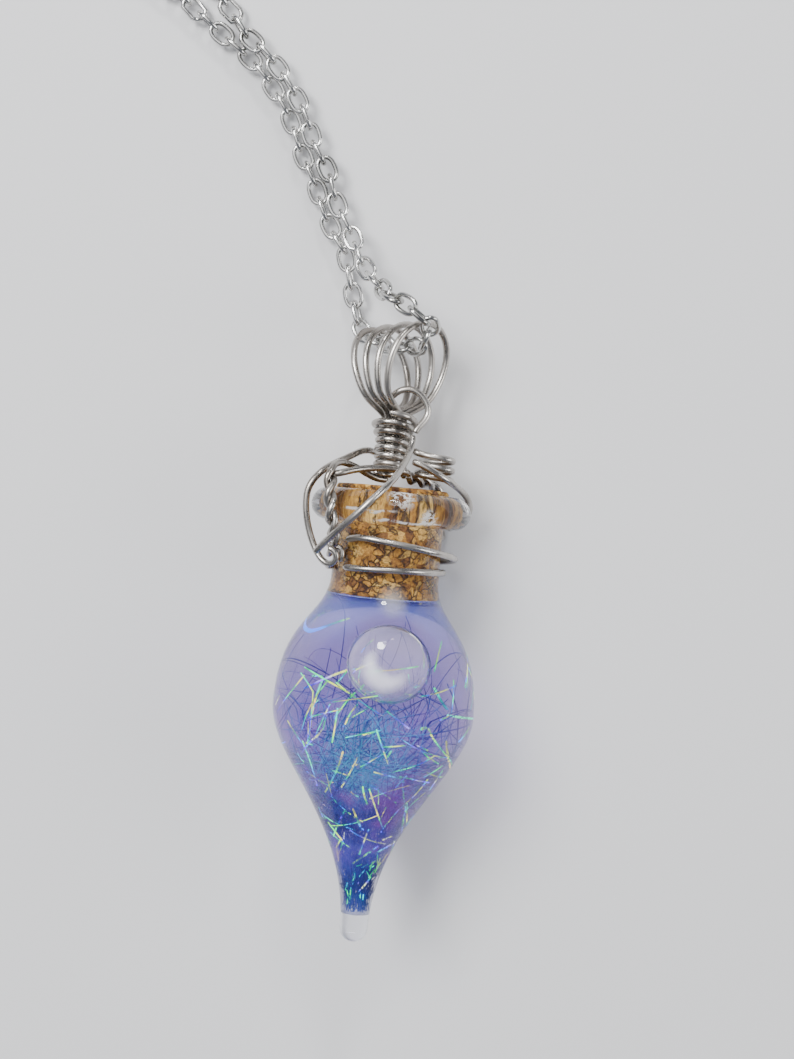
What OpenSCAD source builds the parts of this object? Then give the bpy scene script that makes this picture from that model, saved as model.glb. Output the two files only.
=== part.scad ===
// Bottle pendant: a stoppered glass drop in a wire harness, on a fine cable chain.
// The pendant is drawn standing, with its drip tip at the bottom and its front toward -Y.
// It is then laid on its back, resting on its belly and its lip, and its chain lies behind it.

/* [Glass bottle] */
// Greatest diameter of the belly
belly_d = 16.5; // [16:0.1:17]
// Height of the widest place above the drip tip
belly_z = 19; // [18.5:0.1:19.5]
// Outer diameter of the neck
neck_d = 8.8; // [8.6:0.05:8.9]
// Height where the shoulder has become the neck
neck_z = 29.9; // [29.5:0.1:30.2]
// Outer diameter of the lip
lip_d = 13.1; // [12.9:0.05:13.2]
// Thickness of the lip's rounded ring
lip_thick = 2.7; // [2.6:0.05:2.8]
// Height of the middle of the lip
lip_z = 35.55; // [35.4:0.05:35.7]
// Thickness of the glass
wall = 0.4; // [0.35:0.05:0.5]
// Diameter of the solid drip tip
tip_d = 2.3; // [2.1:0.05:2.4]
// Height where the hollow begins
hollow_z = 2.2; // [2:0.05:2.4]

/* [Cork and filling] */
// Height of the cork's lower face
cork_bottom = 28.1; // [28:0.05:28.4]
// Height of the cork's upper face
cork_top = 37.3; // [37.2:0.05:37.4]
// Clearance between the cork, the filling and the glass
fit_gap = 0.06; // [0.04:0.01:0.1]
// Diameter of the air bubble
bubble_d = 6.6; // [6:0.1:7]
// Height of the air bubble's middle
bubble_z = 23.1; // [22.5:0.1:23.5]

/* [Wire] */
// Diameter of the harness wire
wire_d = 0.54; // [0.5:0.01:0.55]
// Rise of one full turn of a twisted pair
twist_lead = 3.1; // [3:0.1:3.4]
// Turns of wire in the wrap
wrap_turns = 7; // [6:1:7]
// Rise from one turn of the wrap to the next
wrap_pitch = 0.66; // [0.62:0.01:0.68]
// Width of a bail loop, between wire centres
loop_w = 6.6; // [6.2:0.1:6.8]
// Height of a bail loop above the wrap
loop_h = 7.5; // [7.3:0.1:7.7]

/* [Chain] */
// Outer length of a link
link_len = 2.5; // [2.48:0.01:2.52]
// Outer width of a link
link_w = 1.75; // [1.72:0.01:1.76]
// Diameter of a link's wire
link_wire = 0.39; // [0.37:0.01:0.4]
// Distance from one link to the next
link_pitch = 1.54; // [1.53:0.005:1.56]

/* [Rest] */
// Slope of the bottle as it lies on its belly and lip
rest_tilt = 6.15; // [6.1:0.01:6.2]

/* [Hidden] */
$fn = 64;

// Sides of a swept wire, of a twisted or wrapped wire and of a link's wire
wire_sides = 8;
fine_sides = 6;
link_sides = 5;

belly_r = belly_d / 2;
neck_r = neck_d / 2;
tip_r = tip_d / 2;
lip_r = lip_thick / 2;
lip_ring_r = lip_d / 2 - lip_r;

// Lengths of the curve handles that draw the long taper and the shoulder
tip_pull = 8.65;
taper_pull = 4.55;
shoulder_pull = 7.15;
neck_pull = 3.55;
curve_steps = 14;

// Curves

function unit(v) = v / norm(v);
function last(list) = list[len(list) - 1];

// A point on the curve from a to d, with handles b and c
function curve_point(a, b, c, d, t) =
    pow(1 - t, 3) * a + 3 * pow(1 - t, 2) * t * b + 3 * (1 - t) * t * t * c + pow(t, 3) * d;

// The same curve as a row of points, with the first left out
function curve(a, b, c, d, steps) = [for (i = [1:steps]) curve_point(a, b, c, d, i / steps)];

// A smooth line through hand-picked points
function through(a, b, c, d, t) =
    0.5 * (2 * b + (c - a) * t + (2 * a - 5 * b + 4 * c - d) * t * t
           + (3 * b - a - 3 * c + d) * t * t * t);

function smooth(p, steps) =
    let (n = len(p) - 1)
    [for (i = [0:n - 1], s = [0:steps - 1])
        through(p[max(i - 1, 0)], p[i], p[i + 1], p[min(i + 2, n)], s / steps), p[n]];

// Directions along a line, and a side direction carried along it without twist
function headings(p) =
    [for (i = [0:len(p) - 1]) unit(p[min(i + 1, len(p) - 1)] - p[max(i - 1, 0)])];

function carried(side, heading) = unit(side - (side * heading) * heading);

function side_lines(h, start) =
    [for (i = 0, s = carried(start, h[0]); i < len(h);
          i = i + 1, s = i < len(h) ? carried(s, h[i]) : s) s];

// Lengths from the start of a line to each of its points
function lengths(p) =
    [for (i = 0, far = 0; i < len(p);
          i = i + 1, far = i < len(p) ? far + norm(p[i] - p[i - 1]) : far) far];

// A wire along a line
module wire(path, d, sides, start = [0, 0, 1]) {
    h = headings(path);
    s = side_lines(h, start);
    n = len(path);
    points = [for (i = [0:n - 1], k = [0:sides - 1])
        let (turn = 360 * (k + 0.5) / sides)
        path[i] + d / 2 * (cos(turn) * s[i] + sin(turn) * cross(h[i], s[i]))];
    walls = [for (i = [0:n - 2], k = [0:sides - 1])
        [(i + 1) * sides + k, (i + 1) * sides + (k + 1) % sides,
         i * sides + (k + 1) % sides, i * sides + k]];
    foot = [for (k = [0:sides - 1]) k];
    head = [for (k = [0:sides - 1]) n * sides - 1 - k];
    polyhedron(points, concat([foot], walls, [head]));
}

// Two wires twisted about a core line, each a helix of its own
function twisted(core, phase) =
    let (h = headings(core), s = side_lines(h, [1, 0, 0]), far = lengths(core))
    [for (i = [0:len(core) - 1])
        let (turn = phase + 360 * far[i] / twist_lead)
        core[i] + pair_r * (cos(turn) * s[i] + sin(turn) * cross(h[i], s[i]))];

pair_gap = 0.03;
pair_r = wire_d / 2 + pair_gap;

// Glass bottle

// The outside of the glass from the drip tip to the foot of the neck, as radius and height
function tip_arc(r) = [for (a = [0:15:90]) [r * sin(a), r * (1 - cos(a))]];
function taper() =
    curve([tip_r, tip_r], [tip_r, tip_r + tip_pull], [belly_r, belly_z - taper_pull],
          [belly_r, belly_z], curve_steps);
function shoulder() =
    curve([belly_r, belly_z], [belly_r, belly_z + shoulder_pull], [neck_r, neck_z - neck_pull],
          [neck_r, neck_z], curve_steps);
glass_outside = concat(tip_arc(tip_r), taper(), shoulder());

// The same line moved inward by the thickness of the glass
function inward(line, by) =
    [for (i = [0:len(line) - 1])
        let (run = unit(line[min(i + 1, len(line) - 1)] - line[max(i - 1, 0)]))
        line[i] + by * [-run[1], run[0]]];

function hollow_line(by) =
    let (inside = inward(concat(taper(), shoulder()), by),
         floor_z = hollow_z + by - wall)
    concat([[0, floor_z], [inside[1][0] * 0.7, floor_z]], [for (p = inside) if (p[1] > floor_z + 0.3) p]);

module glass_bottle() {
    bore = hollow_line(wall);
    mouth_r = neck_r - wall;
    lip_arc = [for (a = [-126:14:154]) [lip_ring_r + lip_r * cos(a), lip_z + lip_r * sin(a)]];
    outline = concat(glass_outside, [[neck_r, lip_z - 1.4]], lip_arc, [[mouth_r, lip_z + 0.2]],
                     [for (i = [len(bore) - 1:-1:0]) bore[i]]);
    color([0.78, 0.82, 0.95, 0.5]) rotate_extrude() polygon(outline);
}

// Liquid, with the bite of the air bubble at its front
module liquid_filling() {
    line = [for (p = hollow_line(wall + fit_gap)) if (p[1] < cork_bottom - 0.3) p];
    surface_z = cork_bottom - fit_gap;
    bubble_at = [0.9, -(belly_r - 3.2), bubble_z];
    color([0.42, 0.42, 0.86]) difference() {
        rotate_extrude() polygon(concat(line, [[last(line)[0] - 0.15, surface_z], [0, surface_z]]));
        translate(bubble_at) sphere(d = bubble_d);
    }
}

// Cork, tapering a little and mushroomed over the mouth
module cork_stopper() {
    plug_r = neck_r - wall - fit_gap;
    head_r = plug_r + 0.68;
    color([0.74, 0.52, 0.3]) rotate_extrude() polygon([
        [0, cork_bottom], [plug_r - 0.25, cork_bottom], [plug_r - 0.05, cork_bottom + 0.25],
        [plug_r, lip_z + 0.64], [plug_r + 0.12, lip_z + 0.87], [plug_r + 0.34, lip_z + 1.12],
        [plug_r + 0.6, lip_z + 1.34], [head_r, lip_z + 1.5], [head_r, cork_top - 0.15],
        [head_r - 0.2, cork_top], [0, cork_top]]);
}

// Wire harness

// The wrap and the bail stand on a stem that leans back from the bottle's axis
stem_at = [-0.4, -0.3, 38.8];
stem_lean = 5;
bail_heading = -42;
wrap_base = -0.25;
wrap_top = wrap_base + (wrap_turns - 1) * wrap_pitch + 0.75;
module on_stem() {
    translate(stem_at) rotate([-stem_lean, 0, 0]) children();
}

// Bail loops: where the legs stand in the wrap, how far each loop fans out, the length of its
// legs, and how much lower it is than the tallest
loop_rows = [[-0.9, -15.5, 0.7, 0.35], [-0.3, -6, 3.6, 0.2], [0.3, 5, 3.4, 0.05], [0.9, 15.5, 0.7, 0]];

function loop_side(h, w) =
    [[0.28, 0], [0.34 * w, 0.15 * h], [0.46 * w, 0.34 * h], [0.5 * w, 0.55 * h],
     [0.44 * w, 0.77 * h], [0.25 * w, 0.94 * h]];

function bail_loop(place, fan, leg, lower) =
    let (side = loop_side(loop_h - lower, loop_w), n = len(side),
         flat = concat([[0.28, -leg]], side, [[0, loop_h - lower]],
                       [for (i = [n - 1:-1:0]) [-side[i][0], side[i][1]]], [[-0.28, -leg]]))
    [for (p = flat) [place + max(p[1], 0) * tan(fan), p[0], p[1]]];

module bail_loops() {
    color([0.62, 0.6, 0.57]) on_stem() translate([0, 0, wrap_top]) rotate([0, 0, bail_heading])
        for (row = loop_rows)
            wire(smooth(bail_loop(row[0], row[1], row[2], row[3]), 2), wire_d, wire_sides, [1, 0, 0]);
}

// Wrap coil: the turns slant, and the top turns stand wider than the rest
wrap_r = 1.2;
wrap_slant = 8;
wrap_steps = 13;
wrap_start = -0.15;
wrap_end = wrap_turns - 0.35;
flare = 0.7;
flare_turns = 3.2;
function wrap_radius(turn) =
    wrap_r + flare * max(turn - wrap_turns + flare_turns, 0) / flare_turns;
function wrap_point(turn) =
    let (a = 120 - 360 * turn, r = wrap_radius(turn), y = r * sin(a))
    [r * cos(a), y, wrap_base + turn * wrap_pitch - y * tan(wrap_slant)];

module wrap_coil() {
    steps = (wrap_end - wrap_start) * wrap_steps;
    color([0.66, 0.64, 0.6]) on_stem()
        wire([for (i = [0:steps]) wrap_point(wrap_start + i / wrap_steps)], wire_d, fine_sides);
}

// Routes of the single wires, in millimetres to the right, back and up
eye_route = [[-0.75, -1.3, 44.6], [-0.25, -1.6, 45.1], [0.6, -1.75, 45.35], [1.5, -1.7, 45.05],
             [2.15, -1.6, 44.25], [2.3, -1.55, 43.6], [2.15, -1.62, 43.05], [1.8, -1.75, 42.55],
             [1.52, -1.83, 42.15], [1.38, -1.85, 41.85]];
swirl_route = [[-1.75, 1.5, 40.05], [-2.05, 0.9, 40.15], [-2.4, 0.3, 40.15], [-2.9, -0.4, 40],
               [-3.6, -1.5, 39.55], [-4.5, -2.7, 39], [-5.4, -3.5, 38.4],
               [-6.2, -4, 37.6], [-6.75, -4.1, 36.6], [-6.85, -4, 35.5], [-6.7, -3.8, 34.3],
               [-6.4, -3.6, 33.2], [-5.95, -3.5, 32.1], [-5.4, -3.7, 31.2], [-4.8, -4, 30.7],
               [-4.25, -4.3, 30.75], [-4, -4.5, 31.2], [-4.2, -4.6, 31.75], [-4.7, -4.5, 31.95]];
cross_route = [[-5.75, -4.5, 31.5], [-5.1, -5.1, 32.3], [-4.4, -5.5, 33.05], [-3.6, -6, 33.9],
               [-2.7, -6.55, 34.8], [-1.7, -6.75, 35.9], [-0.7, -6.2, 37], [0.1, -5.1, 38],
               [0.65, -3.9, 39], [1, -2.8, 39.9], [1.2, -2.1, 40.8], [1.25, -1.8, 41.6]];
brace_route = [[1.4, -1.9, 39.5], [2.1, -2, 39.3], [3.1, -1.9, 38.85], [4.1, -1.5, 38.35],
               [5, -0.6, 37.9], [5.8, 0.6, 37.35], [6.35, 1.6, 36.65], [6.45, 2.5, 35.85],
               [6.05, 3.25, 35.2], [5.5, 3.85, 34.7], [4.85, 4.25, 34.3]];

// Neck bands: rows of angle from the right, distance from the bottle's axis and height
upper_band_rows = [[-132, 4.9, 32.75], [-118, 5, 33], [-100, 5.1, 32.9], [-75, 5.2, 32.65],
                   [-50, 5.4, 32.35], [-25, 5.55, 32.1], [0, 5.6, 31.85], [25, 5.5, 31.65],
                   [50, 5.25, 31.55], [80, 5, 31.6], [110, 4.9, 31.75], [140, 4.81, 31.95],
                   [170, 4.78, 32.1], [190, 4.78, 32.2]];
lower_band_rows = [[-134, 4.83, 30.5], [-115, 4.79, 30.52], [-90, 4.77, 30.58], [-60, 4.77, 30.64],
                   [-30, 4.77, 30.68], [0, 4.77, 30.7], [30, 4.77, 30.68], [60, 4.77, 30.64],
                   [90, 4.77, 30.58], [120, 4.77, 30.52], [150, 4.77, 30.48], [180, 4.77, 30.46],
                   [200, 4.77, 30.46]];
function band_route(rows) = [for (row = rows) [row[1] * cos(row[0]), row[1] * sin(row[0]), row[2]]];

module single_wire(route) {
    color([0.66, 0.63, 0.59]) wire(smooth(route, 2), wire_d, wire_sides);
}
module eye_loop() {
    single_wire(eye_route);
}
module swirl_wire() {
    single_wire(swirl_route);
}
module cross_wire() {
    single_wire(cross_route);
}
module lip_brace() {
    single_wire(brace_route);
}
module upper_neck_band() {
    single_wire(band_route(upper_band_rows));
}
module lower_neck_band() {
    single_wire(band_route(lower_band_rows));
}

// Twisted strands: the core line of each pair, then the leads and hooks of its two wires
side_core = [[-5, -4.5, 38], [-5, -4.95, 37.2], [-4.92, -5.3, 36.2], [-4.78, -5.35, 35.1],
             [-4.6, -5, 34.1], [-4.4, -4.3, 33.1], [-4.25, -3.6, 32.3]];
side_upper_lead = [[-0.5, 0.1, 37.88], [-1.4, -0.5, 37.9], [-2.4, -1.4, 38.3], [-3.5, -2.7, 38.78],
                   [-4.4, -3.75, 38.88], [-4.85, -4.45, 38.6]];
side_lower_lead = [[1.2, -0.9, 38.45], [0.9, -1.7, 38.6], [0, -2.2, 38.75], [-1, -2.5, 38.75],
                   [-2.2, -3, 38.6], [-3.3, -3.7, 38.35], [-4.3, -4.4, 38]];
side_hook = [[-3.72, -3.87, 32.05], [-3.6, -3.85, 31.5], [-3.7, -3.7, 30.95]];
side_tuck = [[-4.6, -2.9, 31.7], [-4.65, -2.4, 31.3]];
back_core = [[0.9, 1.5, 38.35], [1.7, 2.5, 38.15], [2.6, 3.6, 38.02], [3.5, 4.7, 37.6],
             [4.25, 5.45, 36.8], [4.5, 5.65, 35.7], [4.4, 5.35, 34.5], [4.1, 4.7, 33.5],
             [3.8, 4.1, 32.75]];
twist_steps = 4;

module side_twist() {
    core = smooth(side_core, twist_steps);
    color([0.68, 0.65, 0.6]) {
        wire(concat(smooth(side_upper_lead, 2), twisted(core, 90), smooth(side_hook, 2)),
             wire_d, fine_sides);
        wire(concat(smooth(side_lower_lead, 2), twisted(core, 270), side_tuck),
             wire_d, fine_sides);
    }
}

module back_twist() {
    core = smooth(back_core, twist_steps);
    color([0.6, 0.58, 0.55]) for (phase = [0, 180]) wire(twisted(core, phase), wire_d, fine_sides);
}

// Side loops: a short oval coil beside the wrap
side_loop_at = [3.25, 0.3, 40.15];
side_loop_rx = 1.5;
side_loop_ry = 0.85;
side_loop_turns = 2.4;
side_loop_pitch = 0.82;
module side_loops() {
    steps = round(side_loop_turns * 14);
    lead = [[1.6, 1.1, 40.45], [1.45, 0.3, 40.45], [1.55, -0.4, 40.35]];
    coil = [for (i = [0:steps])
        let (turn = side_loop_turns * i / steps, a = -130 + 360 * turn)
        side_loop_at + [side_loop_rx * cos(a), side_loop_ry * sin(a), -side_loop_pitch * turn]];
    color([0.64, 0.62, 0.58]) wire(concat(lead, coil), wire_d, wire_sides);
}

// Placing: the pendant lies on its back, and everything is centred over the floor
function reach(p) = p[0] * cos(rest_tilt) + p[1] * sin(rest_tilt);
rest_height = max(max([for (p = glass_outside) reach(p)]), reach([lip_ring_r, lip_z]) + lip_r);
module laid() {
    translate([-centre[0], -centre[1], rest_height]) rotate([-90 - rest_tilt, 0, 0]) children();
}

// Chain, drawn on the floor in millimetres to the right, along the bottle and up

chain_r = 0.7;
lie = chain_r * cos(22.5);

// The visible run: up the left strand, through the bail and back along the right strand
front_route = [[-18.03, 73.19, 0.9], [-16.14, 71.79, 0.9], [-14.71, 70.75, 0.9],
               [-12.93, 68.87, 0.9], [-11.23, 66.38, 0.9], [-10.09, 63.77, 0.9],
               [-8.82, 61.44, 0.9], [-7.67, 58.81, 0.9], [-6.19, 56.46, 1.17],
               [-5.75, 55.96, 1.22], [-4.96, 53.03, 1.05], [-4.53, 51.6, 0.99],
               [-3.83, 49.61, 1.52], [-2.91, 48.92, 2.29], [-1.03, 48.45, 4.02],
               [0.94, 48.72, 5.43], [1.48, 49.34, 6.35], [1.81, 50.57, 7.59], [0.93, 51.23, 8.3],
               [0.02, 51.94, 7.99], [-1.6, 52.58, 6.84], [-2.46, 53.27, 5.35],
               [-3.38, 54.12, 4.13], [-4.26, 55.26, 3.24], [-5.39, 57.48, 2.02],
               [-6.78, 59.85, 1.63], [-7.66, 62.25, 1.54], [-8.96, 64.32, 1.42],
               [-10.13, 66.99, 1.42], [-11.94, 69.65, 1.42], [-13.87, 71.68, 1.42],
               [-15.39, 72.81, 1.38], [-16.77, 74.61, 1.15]];

// Links set a fixed distance apart along a line, each turned a quarter from the one before
front_line = smooth(front_route, 5);
front_far = lengths(front_line);
front_links = floor(last(front_far) / link_pitch);
function on_line(far) =
    [for (axis = [0:2]) lookup(far, [for (i = [0:len(front_line) - 1]) [front_far[i], front_line[i][axis]]])];
function link_place(i) = on_line((i + 0.5) * link_pitch);

// How far the links are rolled from lying flat, as rows of link and angle
link_rolls = [[0, -1], [15, 8], [18, 22], [21, 22], [24, 0], [25, -11], [27, -20], [31, 0], [60, 22]];

module link(at, heading, roll) {
    flat = carried([0, 0, 1], heading);
    normal = cos(roll) * flat + sin(roll) * cross(heading, flat);
    side = cross(normal, heading);
    bend_r = (link_w - link_wire) / 2;
    straight = link_len / 2 - link_wire / 2 - bend_r;
    ring = [for (e = [0, 1], a = [-90:36:90])
        let (turn = a + 180 * e, shift = e == 0 ? straight : -straight)
        [shift + bend_r * cos(turn), bend_r * sin(turn), cos(turn), sin(turn)]];
    n = len(ring);
    points = [for (p = ring, k = [0:link_sides - 1])
        let (turn = 360 * k / link_sides, out = link_wire / 2 * cos(turn))
        at + (p[0] + out * p[2]) * heading + (p[1] + out * p[3]) * side
           + link_wire / 2 * sin(turn) * normal];
    faces = [for (i = [0:n - 1], k = [0:link_sides - 1])
        [i * link_sides + k, i * link_sides + (k + 1) % link_sides,
         ((i + 1) % n) * link_sides + (k + 1) % link_sides, ((i + 1) % n) * link_sides + k]];
    polyhedron(points, faces);
}

module chain_front() {
    color([0.85, 0.85, 0.86]) on_floor() for (i = [0:front_links - 1])
        link(link_place(i), unit(on_line((i + 1) * link_pitch) - on_line(i * link_pitch)),
             lookup(i, link_rolls) + 90 * (i % 2));
}

// The hidden run, as half of the loop: rows of distance along the loop's axis and out from it
loop_reach = 137;
back_steps = 4;
half_rows = [[0.62, 0.95], [6, 1.7], [14, 5], [26, 15], [42, 30], [60, 43], [82, 51], [104, 49],
             [122, 38], [133, 22], [loop_reach, 6.2]];
loop_at = [-17.4, 73.9];
loop_heading = unit([-0.75, 0.66]);
loop_side_way = [-loop_heading[1], loop_heading[0]];
function half_route(side) =
    [for (row = half_rows)
        let (p = loop_at + row[0] * loop_heading + side * row[1] * loop_side_way) [p[0], p[1], lie]];

// The middle of everything on the floor, which the part's origin is under
back_points = concat(smooth(half_route(-1), back_steps), smooth(half_route(1), back_steps));
centre = [(belly_r + min([for (p = back_points) p[0]]) - lie) / 2,
          (max([for (p = back_points) p[1]]) + lie) / 2];
module on_floor() {
    translate([-centre[0], -centre[1], 0]) children();
}

module chain_back() {
    color([0.85, 0.85, 0.86]) on_floor() for (side = [-1, 1])
        wire(smooth(half_route(side), back_steps), 2 * chain_r, wire_sides);
}

// Clasp: one flat piece with an eye at each end
clasp_len = 11.6;
clasp_w = 3.4;
clasp_t = 1.6;
module clasp() {
    at = loop_at + loop_reach * loop_heading;
    turn = atan2(loop_side_way[1], loop_side_way[0]);
    color([0.82, 0.82, 0.83]) on_floor() translate([at[0], at[1], 0]) rotate([0, 0, turn])
        linear_extrude(clasp_t) difference() {
            union() {
                square([clasp_len - clasp_w, clasp_w], center = true);
                for (side = [-1, 1]) translate([side * (clasp_len - clasp_w) / 2, 0]) circle(d = clasp_w);
            }
            for (side = [-1, 1]) translate([side * (clasp_len - clasp_w) / 2, 0]) circle(d = 1.6);
        }
}

laid() glass_bottle();
laid() liquid_filling();
laid() cork_stopper();
laid() bail_loops();
laid() wrap_coil();
laid() eye_loop();
laid() swirl_wire();
laid() cross_wire();
laid() side_twist();
laid() back_twist();
laid() upper_neck_band();
laid() lower_neck_band();
laid() lip_brace();
laid() side_loops();
chain_front();
chain_back();
clasp();
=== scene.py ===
"""Dresses the bottle pendant: glass, tinted filling, cork, wire harness and chain."""

import math
import random

import bmesh
import bpy
from mathutils import Matrix, Vector, geometry, noise


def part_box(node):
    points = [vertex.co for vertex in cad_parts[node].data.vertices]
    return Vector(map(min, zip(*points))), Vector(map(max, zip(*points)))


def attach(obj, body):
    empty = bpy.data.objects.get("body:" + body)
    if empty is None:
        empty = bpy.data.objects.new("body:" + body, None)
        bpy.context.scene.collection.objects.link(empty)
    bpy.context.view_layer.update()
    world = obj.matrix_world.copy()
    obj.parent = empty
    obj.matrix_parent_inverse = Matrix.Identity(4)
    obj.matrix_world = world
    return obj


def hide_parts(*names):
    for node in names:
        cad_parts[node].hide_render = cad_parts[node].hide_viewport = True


bl_info = {
    "name": "Bottle pendant",
    "version": (1, 0, 0),
    "blender": (4, 5, 0),
    "location": "View3D > Sidebar > Pendant",
    "description": "Dresses a stoppered glass drop in a wire harness on a fine chain",
    "category": "Object",
}

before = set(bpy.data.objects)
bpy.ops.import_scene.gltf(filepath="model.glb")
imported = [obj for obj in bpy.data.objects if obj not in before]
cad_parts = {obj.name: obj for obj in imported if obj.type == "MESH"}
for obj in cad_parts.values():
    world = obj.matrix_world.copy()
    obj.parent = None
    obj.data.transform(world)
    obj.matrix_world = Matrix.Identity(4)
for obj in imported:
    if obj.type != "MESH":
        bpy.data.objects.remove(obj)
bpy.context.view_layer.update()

MM = 0.001

# The bottle in millimetres, standing on its drip tip, as the solids have it
TIP_R = 1.15
BELLY_R, BELLY_Z = 8.25, 19.0
NECK_R, NECK_Z = 4.4, 29.9
LIP_RING_R, LIP_R, LIP_Z = 5.2, 1.35, 35.55
TIP_PULL, TAPER_PULL, SHOULDER_PULL, NECK_PULL = 8.65, 4.55, 7.15, 3.55
WALL = 0.4
HOLLOW_Z = 2.2

# Where the lip's round leaves the neck, in degrees, and its steps up to the mouth
LIP_FROM, LIP_STEP, LIP_POINTS = -126, 7, 41

# The cork, pressed this far into the glass so that no film of air shows, and its side above
# the straight plug: what it adds to the plug's radius, and the height
CORK_BOTTOM, CORK_TOP = 28.1, 37.3
PRESSED = 0.015
CORK_SWELL = (
    (0.0, LIP_Z + 0.6), (0.17, LIP_Z + 0.87), (0.41, LIP_Z + 1.1),
    (0.6, LIP_Z + 1.3), (0.62, LIP_Z + 1.52), (0.45, CORK_TOP - 0.02),
)

# The liquid: its gap to the glass, the rows of its side with the height of one, and the
# scatter and density of its depth
LIQUID_GAP = 0.02
LIQUID_ROWS, LIQUID_ROW = 57, 0.45
LIQUID_SCATTER, LIQUID_DENSITY = (0.05, 0.045, 0.24), 64.0

# The air bubble: its place, how far its middle is off the wall, its shape and the room that
# strands leave round it; then, from its middle, its painted gleam and the clear window that
# cuts it
BUBBLE_X, BUBBLE_Z, BUBBLE_OFF_WALL = 0.95, 23.1, 1.75
BUBBLE_SHAPE, BUBBLE_ROOM = (1.0, 0.54, 0.97), (3.3, 2.0, 3.3)
GLEAM, GLEAM_WINDOW = Vector((-0.35, -1.6, -0.45)), Vector((0.35, -1.6, 0.75))

# Painted highlights on the glass, white and glowing: patches of flecks and their reach; glints
# along the lip, with the height over its middle, the place and the reach; and a gleam where neck
# and shoulder meet
HIGHLIGHT_FLECKS = (((0.8, -5.9, 36.4), 1.5), ((3.1, -5.6, 34.9), 1.0), ((5.9, -1.8, 36.3), 1.1))
GLINT_STREAKS = ((-1.0, (1.6, -5.9, 34.6), 3.4), (-0.35, (-1.9, -6.3, 35.2), 2.6))
GLINT_HALF_WIDTH = 0.16
NECK_GLEAM = (0.9, -5.3, 28.3)

# Middles of the teal film on the liquid and of the teal fibres behind it
TEAL_FILM, TEAL_TANGLE = (-0.4, -6.2, 16.4), (-0.3, 0.0, 16.5)

# Strands in the liquid. Heights are the least, the greatest and, with three, the likeliest;
# lengths are in millimetres, bends in radians to a millimetre, and widths are shares
SEED = 17
HAIR_HEIGHTS, HAIR_LENGTHS = (2.2, 21.5, 10.0), (2.5, 9.0)
HAIR_BENDS, HAIR_WIDTHS = (0.02, 0.2), (0.7, 1.3)
SLIVER_HEIGHTS, SLIVER_LENGTHS = (2.4, 25.8, 17.0), (1.0, 4.8)
SLIVER_BENDS, SLIVER_WIDTHS = (0.0, 0.13), (0.4, 1.0)

# More of them in the narrow tail, which brings their numbers up by these factors
TAIL_HAIRS, TAIL_HAIR_BEND = 1.25, 0.3
TAIL_HAIR_HEIGHTS, TAIL_HAIR_LENGTHS, TAIL_HAIR_WIDTHS = (2.4, 6.5), (2.0, 6.0), (0.8, 1.8)
TAIL_SLIVERS = 1.15
TAIL_SLIVER_HEIGHTS, TAIL_SLIVER_LENGTHS = (2.6, 9.5), (0.9, 3.0)
TAIL_SLIVER_WIDTHS = (0.35, 0.7)

# The full width of a sliver, and how far strands stay off the wall, all in millimetres
SLIVER_WIDTH = 0.13
HAIR_OFF_WALL, SLIVER_OFF_WALL, TAIL_OFF_WALL = 0.08, 0.12, 0.05
LOWEST_STRAND, HIGHEST_STRAND = HOLLOW_Z + 0.25, CORK_BOTTOM - 0.4

# The part of the way round that strands start in, and the share of slivers put in front
ALL_ROUND, FRONT_HALF = (0, 2 * math.pi), (math.pi, 2 * math.pi)
FRONT_SHARE = 0.7

# How it lies: its slope on belly and lip, and the height of its axis at the tip
REST_TILT = math.radians(6.15)
REST_HEIGHT = 10.335
glass_low, glass_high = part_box("glass_bottle")
LAID = Matrix.Translation(
    ((glass_low.x + glass_high.x) / 2, glass_low.y, REST_HEIGHT * MM)
) @ Matrix.Rotation(-math.pi / 2 - REST_TILT, 4, "X")

# Swept wires of the solids, with the number of sides of their meshes
WIRE_R = 0.27
HARNESS = {
    "bail_loops": 8,
    "wrap_coil": 6,
    "eye_loop": 8,
    "swirl_wire": 8,
    "cross_wire": 8,
    "side_twist": 6,
    "back_twist": 6,
    "upper_neck_band": 8,
    "lower_neck_band": 8,
    "lip_brace": 8,
    "side_loops": 8,
}

# What rounding takes off a wire of so many sides beyond the plain ratio, and how far two
# triangles may bend and skew and still be joined before it
FACET_LOSS = {5: 0.964, 6: 0.978, 8: 0.984}
JOIN_BEND, JOIN_SKEW = 1.2, 2.0
ROUNDING_LEVELS = 2

# Tarnish and roughness of the wire and of the chain
WIRE_TARNISH, WIRE_ROUGHNESS = (0.25, 0.225, 0.2), 0.27
CHAIN_TARNISH, CHAIN_ROUGHNESS = (0.36, 0.355, 0.34), 0.2

# The hidden half of the chain's loop: distance along the loop's axis and out from it
HALF_ROWS = (
    (0, 0.95), (6, 1.7), (14, 5), (26, 15), (42, 30), (60, 43),
    (82, 51), (104, 49), (122, 38), (133, 22), (137, 6.2),
)
LOOP_AT = Vector((-17.4, 73.9))
LOOP_HEADING = Vector((-0.75, 0.66)).normalized()

# A link in millimetres, the distance from one to the next, and its mesh's sides and steps
LINK_LENGTH, LINK_WIDTH, LINK_WIRE, LINK_PITCH = 2.5, 1.75, 0.39, 1.54
LINK_SIDES, LINK_STEPS = 5, 10

# Links of the hidden run: for each side of the loop the first one's distance and roll, which
# carry on from the ends of the visible run, then the number of links over which they settle
# to their own roll and height
FIRST_LINKS = ((-1, 0.12, 6), (1, 0.77, 96))
FIRST_HEIGHT = 0.9
SETTLING_LINKS, SETTLED_ROLL, SETTLED_HEIGHT = 14, 39, 0.7

# Lamps: place from what they aim at and width in metres, and share of the key light's power;
# then the height on the bottle that they aim at, in millimetres
LAMPS = (
    ("key_light", (-0.22, 0.2, 0.36), 0.2, 1.0),
    ("fill_light", (0.4, 0.02, 0.2), 0.24, 0.35),
    ("rim_light", (0.02, 0.42, 0.26), 0.07, 0.3),
)
LAMPS_AIM_Z = 30.0

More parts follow.
